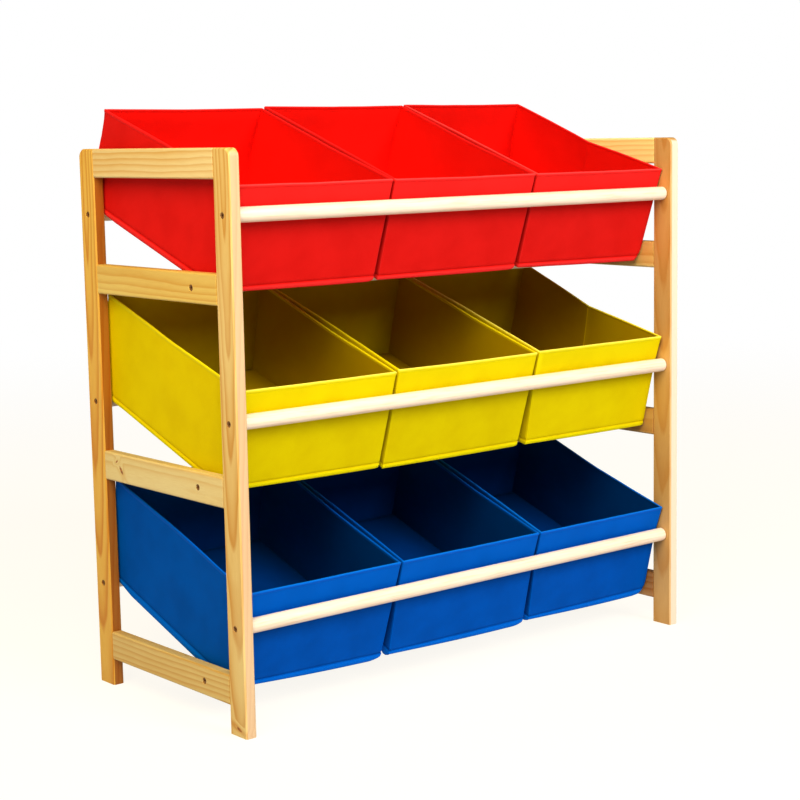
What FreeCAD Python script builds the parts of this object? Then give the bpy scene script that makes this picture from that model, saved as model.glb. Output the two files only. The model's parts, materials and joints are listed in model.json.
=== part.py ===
import FreeCAD, Part
import Sketcher
import math
import os

# A low pine rack of two ladder frames joined by nine round dowels. Each of its three tiers holds
# three open fabric bins that lie pitched towards the front.
# Row frame in mm: X across the rack, +Y to its rear, +Z up, origin on the floor at its centre.

doc = FreeCAD.newDocument("storage_rack")
sheet = doc.addObject("Spreadsheet::Sheet", "sizes")

GIVEN = {
    # ladder frames
    "frame_height": 600,
    "frame_depth": 288,
    "board_thick": 13,
    "board_wide": 29,
    "rung_high": 32,
    "top_rail_high": 31,
    "edge_easing": 1.5,
    "crown_round": 9,
    "lowest_rung": 46,
    "tier_pitch": 206.5,
    # round dowels across the rack
    "dowel_radius": 8,
    "rear_rise": 70,
    "front_rise_top": 74.5,
    "front_rise_middle": 72.5,
    "front_rise_bottom": 67.5,
    "lower_forward": 69,
    # screws through the boards into the dowel ends
    "shank_radius": 2,
    "shank_long": 32,
    "head_radius": 3.4,
    "head_high": 2.4,
    "head_sunk": 0.6,
    "key_radius": 1.7,
    "key_deep": 1.4,
    # loose wooden pins between rails and posts
    "pin_radius": 3,
    "pin_half": 12,
    "pin_spread": 16,
    # fabric bins
    "bin_width": 208.2,
    "bin_long": 250,
    "bin_high": 110,
    "bin_gap": 1,
    "side_gap": 0.7,
    "rest_gap": 0.3,
    "wall_thick": 3,
    "base_thick": 2,
    "corner_round": 5,
    "lip_drop": 5.5,
    "lip_thick": 2.4,
    "slot_ease": 1,
    "rim_high": 2.6,
    "rim_proud": 0.3,
    "insert_thick": 2.5,
    "insert_gap": 1,
}

TIERS = ("bottom", "middle", "top")

DERIVED = {
    "inner_width": "3 * bin_width + 2 * bin_gap + 2 * side_gap",
    "frame_width": "inner_width + 2 * board_thick",
    "rail_long": "frame_depth - 2 * board_wide",
    "post_middle": "frame_depth / 2 - board_wide / 2",
    "lower_to_front": "post_middle - lower_forward",
    "lower_to_rear": "post_middle + lower_forward",
    "bin_pitch": "atan(rear_rise / lower_to_rear)",
    "dowel_span": "sqrt(rear_rise ^ 2 + lower_to_rear ^ 2)",
    "bin_lift": "dowel_radius + rest_gap",
    "wall_high": "bin_high - rim_high",
    # the bin's room above its base and the recess inside the lip below it
    "room_width": "bin_width - 2 * wall_thick",
    "room_long": "bin_long - 2 * wall_thick",
    "room_deep": "wall_high - base_thick",
    "recess_width": "bin_width - 2 * lip_thick",
    "recess_long": "bin_long - 2 * lip_thick",
    # the rim stands proud of the wall on both of its faces
    "rim_width": "bin_width + 2 * rim_proud",
    "rim_long": "bin_long + 2 * rim_proud",
    "rim_round": "corner_round + rim_proud",
    "rim_thick": "wall_thick + 2 * rim_proud",
    "mouth_width": "rim_width - 2 * rim_thick",
    "mouth_long": "rim_long - 2 * rim_thick",
    "insert_width": "room_width - 2 * insert_gap",
    "insert_long": "room_long - 2 * insert_gap",
}
for step, tier in enumerate(TIERS):
    DERIVED["rung_" + tier] = "lowest_rung + %d * tier_pitch" % step
    DERIVED["front_" + tier] = "rung_%s + front_rise_%s" % (tier, tier)
    DERIVED["rear_" + tier] = "rung_%s + rear_rise" % tier
    # distance along the pitched bin from the lower dowel's axis to the front wall's outer face
    DERIVED["reach_" + tier] = (
        "bin_lift + front_rise_%s * sin(bin_pitch) - lower_to_front * cos(bin_pitch)" % tier
    )
    DERIVED["bin_y_" + tier] = (
        "reach_%s * cos(bin_pitch) - bin_lift * sin(bin_pitch) - lower_forward" % tier
    )
    DERIVED["bin_z_" + tier] = (
        "rung_%s + reach_%s * sin(bin_pitch) + bin_lift * cos(bin_pitch)" % (tier, tier)
    )

row = 0
for alias, value in list(GIVEN.items()) + list(DERIVED.items()):
    row += 1
    formula = "=" + value if isinstance(value, str) else str(value)
    sheet.set("A%d" % row, alias.replace("_", " "))
    sheet.set("B%d" % row, formula)
    sheet.setAlias("B%d" % row, alias)
doc.recompute()

ALONG_X = FreeCAD.Rotation(FreeCAD.Vector(0, 1, 0), 90)
ALONG_Y = FreeCAD.Rotation(FreeCAD.Vector(1, 0, 0), -90)
PITCHED = FreeCAD.Rotation(FreeCAD.Vector(1, 0, 0), 20)
UPRIGHT = FreeCAD.Rotation()
LEVEL = ("0 mm", "0 mm", "0 mm")

# sides of the polygons that stand for small round pieces and their holes
HEAD_SIDES = 16
SHANK_SIDES = 8
PIN_SIDES = 6

nodes = []


def tie(item, paths):
    """Bind properties of an item to expressions over the sheet's aliases."""
    for path, text in paths.items():
        item.setExpression(path, text)


def tie_size(item, names, texts):
    tie(item, dict(zip(names, texts)))


def tie_place(item, rotation, at):
    item.Placement = FreeCAD.Placement(FreeCAD.Vector(), rotation)
    axes = ("Placement.Base.x", "Placement.Base.y", "Placement.Base.z")
    tie(item, dict(zip(axes, at)))


def sketch_on(body, name, role, shift):
    """New sketch on one of the body's own planes, shifted by three expressions in its own axes."""
    sketch = body.newObject("Sketcher::SketchObject", name)
    planes = {item.Role: item for item in body.Origin.OriginFeatures}
    sketch.AttachmentSupport = (planes[role], [""])
    sketch.MapMode = "FlatFace"
    axes = ("AttachmentOffset.Base.x", "AttachmentOffset.Base.y", "AttachmentOffset.Base.z")
    tie(sketch, dict(zip(axes, shift)))
    return sketch


def hold(sketch, alias, kind, *points):
    """Dimension in a sketch that follows one of the sheet's aliases."""
    number = sketch.addConstraint(Sketcher.Constraint(kind, *points, sheet.get(alias)))
    sketch.setExpression("Constraints[%d]" % number, "sizes." + alias)


def outline(sketch, wide, deep, rounds=(None,) * 4, inset=None):
    """Draw a rectangle whose corners are rounded where rounds names a radius.

    All are aliases. The corners run anticlockwise from the lower right one. The rectangle starts
    at the sketch's axes, or stands inset from both of them.
    """
    sides = (sheet.get(wide), sheet.get(deep)) * 2
    radii = [sheet.get(alias) if alias else 0 for alias in rounds]
    start = sheet.get(inset) if inset else 0
    at = FreeCAD.Vector(start, start, 0)
    along = FreeCAD.Vector(1, 0, 0)
    lines, arcs = [], []
    for corner in range(4):
        across = FreeCAD.Vector(-along.y, along.x, 0)
        end = at + along * (sides[corner] - radii[corner])
        side = Part.LineSegment(at + along * radii[corner - 1], end)
        lines.append(sketch.addGeometry(side))
        arcs.append(None)
        if rounds[corner]:
            circle = Part.Circle(end + across * radii[corner], FreeCAD.Vector(0, 0, 1), radii[corner])
            turn = math.pi / 2 * (corner - 1)
            arcs[corner] = sketch.addGeometry(Part.ArcOfCircle(circle, turn, turn + math.pi / 2))
        at = at + along * sides[corner]
        along = across
    for corner in range(4):
        line, arc, after = lines[corner], arcs[corner], lines[(corner + 1) % 4]
        level = "Vertical" if corner % 2 else "Horizontal"
        sketch.addConstraint(Sketcher.Constraint(level, line))
        if arc is None:
            sketch.addConstraint(Sketcher.Constraint("Coincident", line, 2, after, 1))
            continue
        sketch.addConstraint(Sketcher.Constraint("Tangent", line, 2, arc, 1))
        sketch.addConstraint(Sketcher.Constraint("Tangent", arc, 2, after, 1))
        hold(sketch, rounds[corner], "Radius", arc)
    near, right, far, left = lines
    hold(sketch, wide, "DistanceX", left, 1, right, 1)
    hold(sketch, deep, "DistanceY", near, 1, far, 1)
    if inset:
        hold(sketch, inset, "DistanceX", -1, 1, left, 1)
        hold(sketch, inset, "DistanceY", -1, 1, near, 1)
    else:
        sketch.addConstraint(Sketcher.Constraint("PointOnObject", left, 1, -2))
        sketch.addConstraint(Sketcher.Constraint("PointOnObject", near, 1, -1))


def extrude(body, kind, name, sketch, length):
    """Pad a sketch along its plane's normal, or pocket it the other way."""
    item = body.newObject("PartDesign::" + kind, name)
    item.Profile = sketch
    tie(item, {"Length": length})
    return item


def bore(body, name, rotation, sides, radius, length, at):
    """Take away a straight hole; small holes and what fills them share a polygon of few sides."""
    item = body.newObject("PartDesign::SubtractivePrism", name)
    item.Polygon = sides
    tie_size(item, ("Circumradius", "Height"), (radius, length))
    tie_place(item, rotation, at)


def edges_where(item, test):
    """Names of an item's straight edges whose direction and middle pass a test."""
    found = []
    for number, edge in enumerate(item.Shape.Edges, 1):
        if not isinstance(edge.Curve, Part.Line):
            continue
        run = edge.Vertexes[-1].Point - edge.Vertexes[0].Point
        middle = (edge.Vertexes[-1].Point + edge.Vertexes[0].Point) * 0.5
        if test(run, middle):
            found.append("Edge%d" % number)
    return found


def easing(body, name, base, edges, size):
    item = body.newObject("PartDesign::Chamfer", name)
    item.Base = (base, edges)
    item.Size = 1
    tie(item, {"Size": size})


def new_body(name, rotation, at):
    body = doc.addObject("PartDesign::Body", name)
    body.Label = name
    tie_place(body, rotation, at)
    nodes.append(body)
    return body


def board(name, at, long, wide, upright, crown=None):
    """A planed board with eased long edges; crown names the upper end's corner that is rounded."""
    body = new_body(name, UPRIGHT, at)
    side = sketch_on(body, name + "_side", "YZ_Plane", LEVEL)
    rounds = [None, None, None, None]
    if crown:
        rounds[1 if crown == "rear" else 2] = "crown_round"
    if upright:
        outline(side, wide, long, rounds)
    else:
        outline(side, long, wide, rounds)
    blank = extrude(body, "Pad", name + "_blank", side, "sizes.board_thick")
    doc.recompute()
    longest = 2 if upright else 1
    picked = edges_where(blank, lambda run, middle: abs(run[longest]) > 100)
    easing(body, name + "_easing", blank, picked, "sizes.edge_easing")
    return body


def screw_hole(body, name, outer, y, z):
    """Hole for a screw's shank through the board, and its sunk seat in the outer face."""
    seat = "(sizes.head_high + sizes.head_sunk)"
    thick = "sizes.board_thick"
    seat_x = "0 mm" if outer == "low" else "%s - %s" % (thick, seat)
    bore(body, name + "_shank", ALONG_X, SHANK_SIDES, "sizes.shank_radius", thick,
         ("0 mm", y, z))
    bore(body, name + "_seat", ALONG_X, HEAD_SIDES, "sizes.head_radius", seat, (seat_x, y, z))


RAILS = {
    "lower_rung": ("sizes.rung_bottom", "rung_high"),
    "middle_rung": ("sizes.rung_middle", "rung_high"),
    "upper_rung": ("sizes.rung_top", "rung_high"),
    "top_rail": ("sizes.frame_height - sizes.top_rail_high / 2", "top_rail_high"),
}
RUNG_TIER = {"lower_rung": "bottom", "middle_rung": "middle", "upper_rung": "top"}
SIDES = {
    "left": ("low", "-sizes.frame_width / 2"),
    "right": ("high", "sizes.frame_width / 2 - sizes.board_thick"),
}

# ---- ladder frames: posts with rails butted between them ----
for side, (outer, board_x) in SIDES.items():
    for place in ("front", "rear"):
        front = place == "front"
        post_y = "-sizes.frame_depth / 2" if front else "sizes.frame_depth / 2 - sizes.board_wide"
        name = "%s_%s_post" % (side, place)
        body = board(
            name,
            (board_x, post_y, "0 mm"),
            long="frame_height",
            wide="board_wide",
            upright=True,
            crown=place,
        )
        for tier in TIERS:
            level = "sizes.%s_%s" % (place, tier)
            screw_hole(body, "%s_%s" % (name, tier), outer, "sizes.board_wide / 2", level)
        hole_y = "sizes.board_wide - sizes.pin_half" if front else "0 mm"
        for rail, (middle, high) in RAILS.items():
            for end in ("-", "+"):
                level = "%s %s sizes.pin_spread / 2" % (middle, end)
                tag = "%s_%s_%s" % (name, rail, "low" if end == "-" else "high")
                bore(body, tag, ALONG_Y, PIN_SIDES, "sizes.pin_radius", "sizes.pin_half",
                     ("sizes.board_thick / 2", hole_y, level))
    for rail, (middle, high) in RAILS.items():
        name = "%s_%s" % (side, rail)
        body = board(
            name,
            (board_x, "-sizes.rail_long / 2", "%s - sizes.%s / 2" % (middle, high)),
            long="rail_long",
            wide=high,
            upright=False,
        )
        if rail in RUNG_TIER:
            dowel_y = "sizes.rail_long / 2 - sizes.lower_forward"
            screw_hole(body, name + "_dowel", outer, dowel_y, "sizes.%s / 2" % high)
        for end in ("-", "+"):
            level = "sizes.%s / 2 %s sizes.pin_spread / 2" % (high, end)
            tag = "%s_%s" % (name, "low" if end == "-" else "high")
            for hole_y, mark in (("0 mm", "_front"), ("sizes.rail_long - sizes.pin_half", "_rear")):
                bore(body, tag + mark, ALONG_Y, PIN_SIDES, "sizes.pin_radius", "sizes.pin_half",
                     ("sizes.board_thick / 2", hole_y, level))

# ---- round dowels with a pilot hole in each end ----
DOWELS = {
    "front": ("-sizes.post_middle", "sizes.front_"),
    "rear": ("sizes.post_middle", "sizes.rear_"),
    "lower": ("-sizes.lower_forward", "sizes.rung_"),
}
PILOT = "(sizes.shank_long - sizes.board_thick)"
for tier in TIERS:
    for place, (dowel_y, level) in DOWELS.items():
        name = "%s_%s_dowel" % (tier, place)
        body = new_body(name, UPRIGHT, ("-sizes.inner_width / 2", dowel_y, level + tier))
        rod = body.newObject("PartDesign::AdditiveCylinder", name + "_rod")
        tie_size(rod, ("Radius", "Height"), ("sizes.dowel_radius", "sizes.inner_width"))
        tie_place(rod, ALONG_X, ("0 mm", "0 mm", "0 mm"))
        for mark, start in (("left", "0 mm"), ("right", "sizes.inner_width - " + PILOT)):
            bore(body, "%s_pilot_%s" % (name, mark), ALONG_X, SHANK_SIDES, "sizes.shank_radius",
                 PILOT, (start, "0 mm", "0 mm"))


def prism(name, rotation, sides, radius, height, at):
    item = doc.addObject("Part::Prism", name)
    item.Polygon = sides
    tie_size(item, ("Circumradius", "Height"), (radius, height))
    tie_place(item, rotation, at)
    return item


def grouped(name, members):
    item = doc.addObject("Part::Compound", name)
    item.Label = name
    item.Links = members
    nodes.append(item)


def screw(name, outer, y, z):
    """Screw with a hexagon key socket, its head sunk below the board's outer face."""
    face = "-sizes.frame_width / 2 + sizes.head_sunk"
    turn = 90
    if outer == "high":
        face = "sizes.frame_width / 2 - sizes.head_sunk"
        turn = -90
    inward = FreeCAD.Rotation(FreeCAD.Vector(0, 1, 0), turn)
    at = (face, y, z)
    length = "sizes.shank_long - sizes.head_sunk"
    head = prism(name + "_head", inward, HEAD_SIDES, "sizes.head_radius", "sizes.head_high", at)
    shank = prism(name + "_shank", inward, SHANK_SIDES, "sizes.shank_radius", length, at)
    key = prism(name + "_key", inward, 6, "sizes.key_radius", "sizes.key_deep", at)
    whole = doc.addObject("Part::MultiFuse", name + "_whole")
    whole.Shapes = [head, shank]
    cut = doc.addObject("Part::Cut", name)
    cut.Base = whole
    cut.Tool = key
    return cut


# ---- screws and loose pins, one group of each for each ladder frame ----
for side, (outer, board_x) in SIDES.items():
    screws = []
    for tier in TIERS:
        for place, (dowel_y, level) in DOWELS.items():
            screws.append(screw("%s_%s_%s_screw" % (side, tier, place), outer, dowel_y, level + tier))
    grouped(side + "_screws", screws)
    pins = []
    for rail, (middle, high) in RAILS.items():
        for edge, mark in (("-sizes.rail_long / 2", "front"), ("sizes.rail_long / 2", "rear")):
            for end, spot in (("-", "low"), ("+", "high")):
                pins.append(prism(
                    "%s_%s_%s_%s_pin" % (side, rail, mark, spot),
                    ALONG_Y, PIN_SIDES, "sizes.pin_radius", "2 * sizes.pin_half",
                    (board_x + " + sizes.board_thick / 2", edge + " - sizes.pin_half",
                     "%s %s sizes.pin_spread / 2" % (middle, end)),
                ))
    grouped(side + "_joint_pins", pins)

# ---- fabric bins, drawn level with their front wall at y = 0 and then pitched as a whole ----
COLUMNS = ("left", "centre", "right")
COLOURS = {"top": "red", "middle": "yellow", "bottom": "blue"}


def bin_body(name, tier, column):
    x = "-sizes.inner_width / 2 + sizes.side_gap + %d * (sizes.bin_width + sizes.bin_gap)" % column
    body = new_body(name, PITCHED, (x, "sizes.bin_y_" + tier, "sizes.bin_z_" + tier))
    tie(body, {"Placement.Rotation.Angle": "sizes.bin_pitch"})
    return body


def shell(name, tier, column):
    """Walls and base of one bin, with the sewn seam lip that hangs below the base."""
    body = bin_body(name, tier, column)
    drop = "-sizes.lip_drop"
    around = sketch_on(body, name + "_around", "XY_Plane", ("0 mm", "0 mm", drop))
    outline(around, "bin_width", "bin_long", ("corner_round",) * 4)
    extrude(body, "Pad", name + "_blank", around, "sizes.wall_high + sizes.lip_drop")
    room = sketch_on(body, name + "_mouth", "XY_Plane", ("0 mm", "0 mm", "sizes.wall_high"))
    outline(room, "room_width", "room_long", inset="wall_thick")
    extrude(body, "Pocket", name + "_room", room, "sizes.room_deep")
    recess = sketch_on(body, name + "_underside", "XY_Plane", LEVEL)
    outline(recess, "recess_width", "recess_long", inset="lip_thick")
    extrude(body, "Pocket", name + "_recess", recess, "sizes.lip_drop")
    wide = "2 * (sizes.dowel_radius + sizes.slot_ease)"
    for mark, ahead in (("front", ""), ("rear", " + sizes.dowel_span")):
        slot_y = "-sizes.reach_%s%s - sizes.dowel_radius - sizes.slot_ease" % (tier, ahead)
        slot = body.newObject("PartDesign::SubtractiveBox", "%s_slot_%s" % (name, mark))
        tie_size(slot, ("Length", "Width", "Height"), ("sizes.bin_width", wide, "sizes.lip_drop"))
        tie_place(slot, UPRIGHT, ("0 mm", slot_y, drop))


def rim(name, tier, column):
    """Bound edge that sits on top of the walls, proud of both their faces."""
    body = bin_body(name, tier, column)
    shift = ("-sizes.rim_proud", "-sizes.rim_proud", "sizes.wall_high")
    band = sketch_on(body, name + "_band", "XY_Plane", shift)
    outline(band, "rim_width", "rim_long", ("rim_round",) * 4)
    outline(band, "mouth_width", "mouth_long", inset="rim_thick")
    extrude(body, "Pad", name + "_edge", band, "sizes.rim_high")


def insert(name, tier, column):
    """Loose stiff base board that lies on the bin's floor."""
    body = bin_body(name, tier, column)
    start = "sizes.wall_thick + sizes.insert_gap"
    floor = sketch_on(body, name + "_floor", "XY_Plane", (start, start, "sizes.base_thick"))
    outline(floor, "insert_width", "insert_long")
    extrude(body, "Pad", name + "_board", floor, "sizes.insert_thick")


for tier in TIERS:
    for column, place in enumerate(COLUMNS):
        stem = "%s_%s_bin_" % (COLOURS[tier], place)
        shell(stem + "shell", tier, column)
        rim(stem + "rim", tier, column)
        insert(stem + "insert", tier, column)

doc.recompute()
for item in doc.Objects:
    if "Invalid" in item.State or "Error" in item.State:
        raise RuntimeError("%s did not build: %s" % (item.Name, item.State))

os.makedirs("parts", exist_ok=True)
for node in nodes:
    if node.Shape.isNull() or not node.Shape.isValid() or not node.Shape.Solids:
        raise RuntimeError("%s has no sound shape" % node.Label)
    node.Shape.exportStep("parts/%s.step" % node.Label)
print("%d nodes exported" % len(nodes))
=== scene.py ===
import json
import math

import bpy
from mathutils import Matrix, Vector, noise


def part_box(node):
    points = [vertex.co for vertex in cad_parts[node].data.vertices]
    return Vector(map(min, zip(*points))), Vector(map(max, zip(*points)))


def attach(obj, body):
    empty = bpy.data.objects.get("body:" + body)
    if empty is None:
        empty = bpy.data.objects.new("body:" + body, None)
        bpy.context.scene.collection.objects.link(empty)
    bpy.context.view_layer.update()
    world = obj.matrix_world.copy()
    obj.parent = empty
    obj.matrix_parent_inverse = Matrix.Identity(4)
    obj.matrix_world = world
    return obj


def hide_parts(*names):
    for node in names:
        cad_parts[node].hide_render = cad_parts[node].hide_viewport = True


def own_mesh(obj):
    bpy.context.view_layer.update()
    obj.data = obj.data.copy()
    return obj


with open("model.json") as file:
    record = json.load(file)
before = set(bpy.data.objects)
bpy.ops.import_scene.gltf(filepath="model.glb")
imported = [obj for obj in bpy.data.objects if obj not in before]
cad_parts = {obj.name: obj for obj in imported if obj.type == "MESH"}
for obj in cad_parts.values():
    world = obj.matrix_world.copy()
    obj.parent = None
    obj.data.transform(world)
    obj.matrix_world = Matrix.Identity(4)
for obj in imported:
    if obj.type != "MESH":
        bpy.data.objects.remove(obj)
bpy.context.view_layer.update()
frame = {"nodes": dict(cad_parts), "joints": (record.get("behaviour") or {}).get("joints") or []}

scene = bpy.context.scene
nodes = frame["nodes"]
MM = 0.001


# ---------------------------------------------------------------- camera, light and floor

def look_from(place, yaw, pitch, roll, lens):
    """Camera at a place, turned by yaw, pitch and roll in radians from a level look along y."""
    ahead = Vector((math.sin(yaw) * math.cos(pitch), math.cos(yaw) * math.cos(pitch), -math.sin(pitch)))
    right = Vector((math.cos(yaw), -math.sin(yaw), 0))
    up = right.cross(ahead)
    across = right * math.cos(roll) + up * math.sin(roll)
    above = up * math.cos(roll) - right * math.sin(roll)
    data = bpy.data.cameras.new("camera")
    data.lens = lens
    data.sensor_width = 36
    data.clip_end = 50
    camera = bpy.data.objects.new("camera", data)
    turn = Matrix((across, above, -ahead)).transposed().to_4x4()
    camera.matrix_world = Matrix.Translation(place) @ turn
    scene.collection.objects.link(camera)
    scene.camera = camera


def softbox(name, place, target, size, power, colour):
    """Rectangular lamp that faces its target."""
    data = bpy.data.lights.new(name, "AREA")
    data.shape = "RECTANGLE"
    data.size, data.size_y = size
    data.energy = power
    data.color = colour
    lamp = bpy.data.objects.new(name, data)
    lamp.location = place
    way = Vector(target) - Vector(place)
    lamp.rotation_euler = way.to_track_quat("-Z", "Y").to_euler()
    scene.collection.objects.link(lamp)


# places are in metres, angles in radians, the lens in mm and the lamps in watts
look_from((-1.359618, -1.642092, 0.610914), 0.69315, 0.14396, -0.01839, 82.835)
softbox("key", (0.3, -2.7, 1.8), (0, 0, 0.3), (1.4, 1.4), 74, (0.97, 0.98, 1.0))
softbox("fill", (-1.5, -1.1, 1.9), (0, 0, 0.4), (1.8, 1.8), 76, (1.0, 0.84, 0.54))
scene.view_settings.view_transform = "Standard"
scene.view_settings.gamma = 0.88

# the world lights the rack faintly and looks white to the camera
world = bpy.data.worlds.new("studio")
world.use_nodes = True
scene.world = world
room = world.node_tree
room.nodes["Background"].inputs["Color"].default_value = (0.93, 0.95, 1.0, 1)
room.nodes["Background"].inputs["Strength"].default_value = 0.12
bright = room.nodes.new("ShaderNodeBackground")
bright.inputs["Color"].default_value = (1, 1, 1, 1)
seen = room.nodes.new("ShaderNodeLightPath")
choose = room.nodes.new("ShaderNodeMixShader")
room.links.new(seen.outputs["Is Camera Ray"], choose.inputs[0])
room.links.new(room.nodes["Background"].outputs[0], choose.inputs[1])
room.links.new(bright.outputs[0], choose.inputs[2])
room.links.new(choose.outputs[0], room.nodes["World Output"].inputs["Surface"])


# ---------------------------------------------------------------- materials

def srgb(red, green, blue):
    """Linear colour of three values from 0 to 255."""
    parts = []
    for value in (red, green, blue):
        value /= 255
        parts.append(value / 12.92 if value <= 0.04045 else ((value + 0.055) / 1.055) ** 2.4)
    return (*parts, 1)


MIX_INPUTS, MIX_OUTPUT = (0, 6, 7), 2   # the Mix node's sockets for factor and colours


class Finish:
    """A material with short calls for its nodes. Each call returns an output socket."""

    def __init__(self, name):
        self.material = bpy.data.materials.new(name)
        self.material.use_nodes = True
        self.tree = self.material.node_tree
        self.shader = self.tree.nodes["Principled BSDF"]

    def feed(self, socket, value):
        if isinstance(value, bpy.types.NodeSocket):
            self.tree.links.new(value, socket)
        else:
            socket.default_value = value

    def add(self, kind, output=0, inputs=None, **settings):
        node = self.tree.nodes.new("ShaderNode" + kind)
        for key, value in settings.items():
            setattr(node, key, value)
        for key, value in (inputs or {}).items():
            self.feed(node.inputs[key], value)
        return node.outputs[output]

    def math(self, operation, *values):
        return self.add("Math", inputs=dict(enumerate(values)), operation=operation)

    def vector(self, operation, *values):
        return self.add("VectorMath", inputs=dict(enumerate(values)), operation=operation)

    def place(self):
        return self.add("TexCoord", "Object")

    def parts(self, vector):
        node = self.tree.nodes.new("ShaderNodeSeparateXYZ")
        self.tree.links.new(vector, node.inputs[0])
        return node.outputs[0], node.outputs[1], node.outputs[2]

    def join(self, x, y, z):
        return self.add("CombineXYZ", inputs={0: x, 1: y, 2: z})

    def noise(self, vector, scale, detail=3.0, rough=0.5, seed=0.0):
        inputs = {"Vector": vector, "W": seed, "Scale": scale, "Detail": detail, "Roughness": rough}
        return self.add("TexNoise", "Fac", inputs, noise_dimensions="4D")

    def remap(self, value, low, high, to_low=0.0, to_high=1.0, smooth=True):
        kind = "SMOOTHSTEP" if smooth else "LINEAR"
        inputs = {"Value": value, "From Min": low, "From Max": high, "To Min": to_low, "To Max": to_high}
        return self.add("MapRange", inputs=inputs, interpolation_type=kind)

    def length(self, first, second):
        """Distance from the origin of two coordinates."""
        return self.math("SQRT", self.math("ADD", self.math("MULTIPLY", first, first),
                                           self.math("MULTIPLY", second, second)))

    def ramp(self, value, stops):
        node = self.tree.nodes.new("ShaderNodeValToRGB")
        self.tree.links.new(value, node.inputs[0])
        while len(node.color_ramp.elements) < len(stops):
            node.color_ramp.elements.new(0.5)
        for element, (position, colour) in zip(node.color_ramp.elements, stops):
            element.position = position
            element.color = colour
        return node.outputs["Color"]

    def mix(self, factor, first, second):
        node = self.tree.nodes.new("ShaderNodeMix")
        node.data_type = "RGBA"
        factor_socket, first_socket, second_socket = (node.inputs[k] for k in MIX_INPUTS)
        self.feed(factor_socket, factor)
        self.feed(first_socket, first)
        self.feed(second_socket, second)
        return node.outputs[MIX_OUTPUT]

    def finish(self, colour, rough, height=None, relief=0.1 * MM, **constants):
        self.feed(self.shader.inputs["Base Color"], colour)
        self.feed(self.shader.inputs["Roughness"], rough)
        for key, value in constants.items():
            self.shader.inputs[key.replace("_", " ")].default_value = value
        if height is not None:
            bump = self.add("Bump", "Normal", {"Height": height, "Distance": relief, "Strength": 1.0})
            self.tree.links.new(bump, self.shader.inputs["Normal"])
        return self.material


# for each grain direction, the axes along the board, across its wide face and through it
GRAIN = {"y": (1, 2, 0), "z": (2, 1, 0)}
EARLY_WOOD, LATE_WOOD = (230, 205, 136), (201, 144, 56)


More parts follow.
